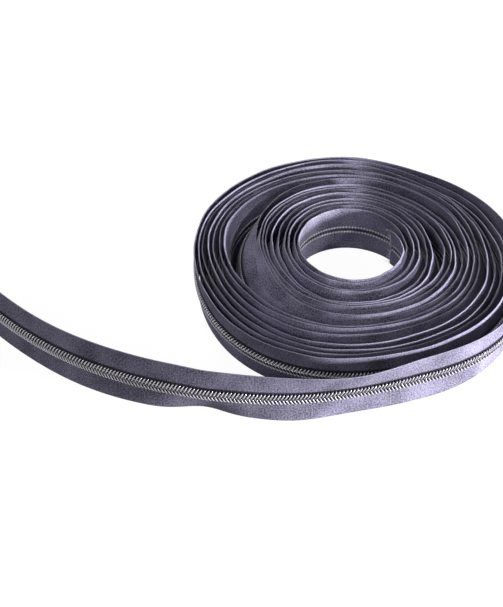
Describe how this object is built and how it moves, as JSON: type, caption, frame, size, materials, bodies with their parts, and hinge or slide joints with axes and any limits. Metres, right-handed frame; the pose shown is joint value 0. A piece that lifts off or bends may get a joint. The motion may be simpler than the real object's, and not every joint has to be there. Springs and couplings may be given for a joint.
{
  "type": "coil zipper roll",
  "caption": "Closed nylon coil zipper chain by the length, wound into a flat roll that stands on its edge, with a loose tail; cut and fitted with sliders when used.",
  "frame": {"origin": "the roll's axis, on the surface that the roll stands on", "axes": "+Z along the roll's axis, across the zipper's width; +X away from the tail; the tail leaves at -Y and runs to -X"},
  "size_m": [0.2998, 0.1872, 0.028],
  "materials": {
    "tape": "woven polyester tape, grey violet",
    "coil": "silvery nylon monofilament",
    "cord": "twisted polyester cord",
    "thread": "polyester sewing thread"
  },
  "bodies": {
    "roll": {"tape_upper_wound": "tape", "tape_lower_wound": "tape", "coil_upper_wound": "coil", "coil_lower_wound": "coil"},
    "tail": {"tape_upper_tail": "tape", "coil_upper_tail": "coil", "filler_cord_upper_tail": "cord", "needle_thread_upper_tail": "thread", "looper_thread_upper_tail": "thread", "tape_lower_tail": "tape", "coil_lower_tail": "coil", "filler_cord_lower_tail": "cord", "needle_thread_lower_tail": "thread", "looper_thread_lower_tail": "thread"}
  },
  "joints": [
    {"name": "tail_flex", "type": "hinge", "parent": "roll", "child": "tail", "pos_m": [0.02456, -0.08029, 0], "axis": [0, 0, 1], "range_deg": [-6, 60]}
  ]
}
